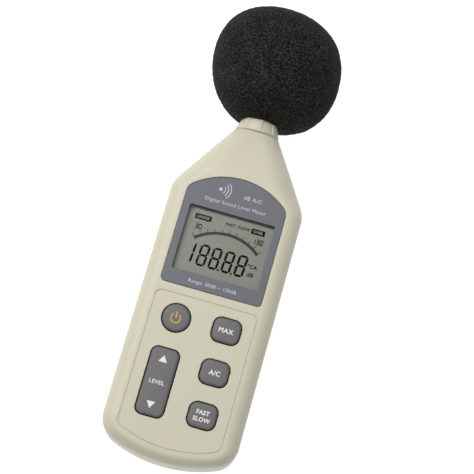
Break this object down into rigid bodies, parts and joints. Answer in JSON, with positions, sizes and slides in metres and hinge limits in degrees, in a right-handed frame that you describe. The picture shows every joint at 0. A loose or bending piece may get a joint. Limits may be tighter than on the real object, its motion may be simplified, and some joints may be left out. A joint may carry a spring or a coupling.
{
  "type": "sound level meter",
  "caption": "Handheld sound level meter: a two-shell case tapering to a collar with a foam ball windscreen, a display under an arched panel, push keys and a rocker key.",
  "frame": {"origin": "middle of the flat back between the battery door and the tripod socket, in the back plane; 85 mm from the bottom end", "axes": "+X across the face to the right, +Y along the meter towards the microphone, +Z out of the display face"},
  "size_m": [0.0708, 0.2523, 0.0708],
  "materials": {
    "ivory_plastic": "satin moulded",
    "slate_overlay": "printed satin overlay",
    "clear_window": "clear acrylic",
    "lcd": "reflective liquid crystal glass",
    "white_plastic": "moulded",
    "conductive_rubber": "matt",
    "grey_key": "matt grey silicone-coated",
    "circuit_board": "green solder mask",
    "black_plastic": "moulded",
    "blue_plastic": "moulded",
    "brass": "turned",
    "steel": "plated",
    "cell_jacket": "plain shrink sleeve",
    "black_foam": "open-cell foam"
  },
  "bodies": {
    "case": {"amplifier_chip": "black_plastic", "battery_spring_1": "steel", "battery_spring_2": "steel", "battery_spring_3": "steel", "battery_spring_4": "steel", "board_screw_1": "steel", "board_screw_2": "steel", "board_screw_3": "steel", "board_screw_4": "steel", "case_screw_1": "steel", "case_screw_2": "steel", "case_screw_3": "steel", "case_screw_4": "steel", "cell_1": "cell_jacket", "cell_2": "cell_jacket", "cell_3": "cell_jacket", "cell_4": "cell_jacket", "contact_bridge_lower_left": "steel", "contact_bridge_lower_right": "steel", "contact_bridge_upper": "steel", "contact_terminal_left": "steel", "contact_terminal_right": "steel", "dc_jack": "black_plastic", "display_panel": "slate_overlay", "elastomer_strip_lower": "conductive_rubber", "elastomer_strip_upper": "conductive_rubber", "front_case": "ivory_plastic", "jack_board": "circuit_board", "lcd_frame": "white_plastic", "lcd_glass": "lcd", "level_switch_down": "black_plastic", "level_switch_up": "black_plastic", "main_board": "circuit_board", "main_chip": "black_plastic", "max_switch": "black_plastic", "mic_capsule": "steel", "mic_grid": "steel", "mic_tube": "black_plastic", "neck_collar": "ivory_plastic", "output_jack": "black_plastic", "power_switch": "black_plastic", "rear_case": "ivory_plastic", "response_switch": "black_plastic", "trimmer_body": "blue_plastic", "tripod_insert": "brass", "weighting_switch": "black_plastic", "window_lens": "clear_window"},
    "power_key": {"power_key": "grey_key"},
    "max_key": {"max_key": "grey_key"},
    "weighting_key": {"weighting_key": "grey_key"},
    "response_key": {"response_key": "grey_key"},
    "level_key": {"level_key": "grey_key"},
    "battery_door": {"battery_door": "ivory_plastic"},
    "windscreen": {"windscreen": "black_foam"},
    "trimmer_screw": {"trimmer_screw": "brass"}
  },
  "joints": [
    {"name": "power_key_press", "type": "slide", "parent": "case", "child": "power_key", "axis": [0, 0, -1], "range_m": [0, 0.0008], "stiffness_N_per_m": 300},
    {"name": "max_key_press", "type": "slide", "parent": "case", "child": "max_key", "axis": [0, 0, -1], "range_m": [0, 0.0008], "stiffness_N_per_m": 300},
    {"name": "weighting_key_press", "type": "slide", "parent": "case", "child": "weighting_key", "axis": [0, 0, -1], "range_m": [0, 0.0008], "stiffness_N_per_m": 300},
    {"name": "response_key_press", "type": "slide", "parent": "case", "child": "response_key", "axis": [0, 0, -1], "range_m": [0, 0.0008], "stiffness_N_per_m": 300},
    {"name": "level_key_rock", "type": "hinge", "parent": "case", "child": "level_key", "pos_m": [-0.013, -0.0478, 0.032], "axis": [1, 0, 0], "range_deg": [-3, 3], "stiffness_Nm_per_rad": 0.2},
    {"name": "battery_door_off", "type": "slide", "parent": "case", "child": "battery_door", "axis": [0, 0, -1], "range_m": [0, 0.04]},
    {"name": "windscreen_off", "type": "slide", "parent": "case", "child": "windscreen", "axis": [0, 1, 0], "range_m": [0, 0.06]},
    {"name": "trimmer_turn", "type": "hinge", "parent": "case", "child": "trimmer_screw", "pos_m": [-0.029, 0.0415, 0.0125], "axis": [-1, 0, 0], "range_deg": [-135, 135]}
  ]
}
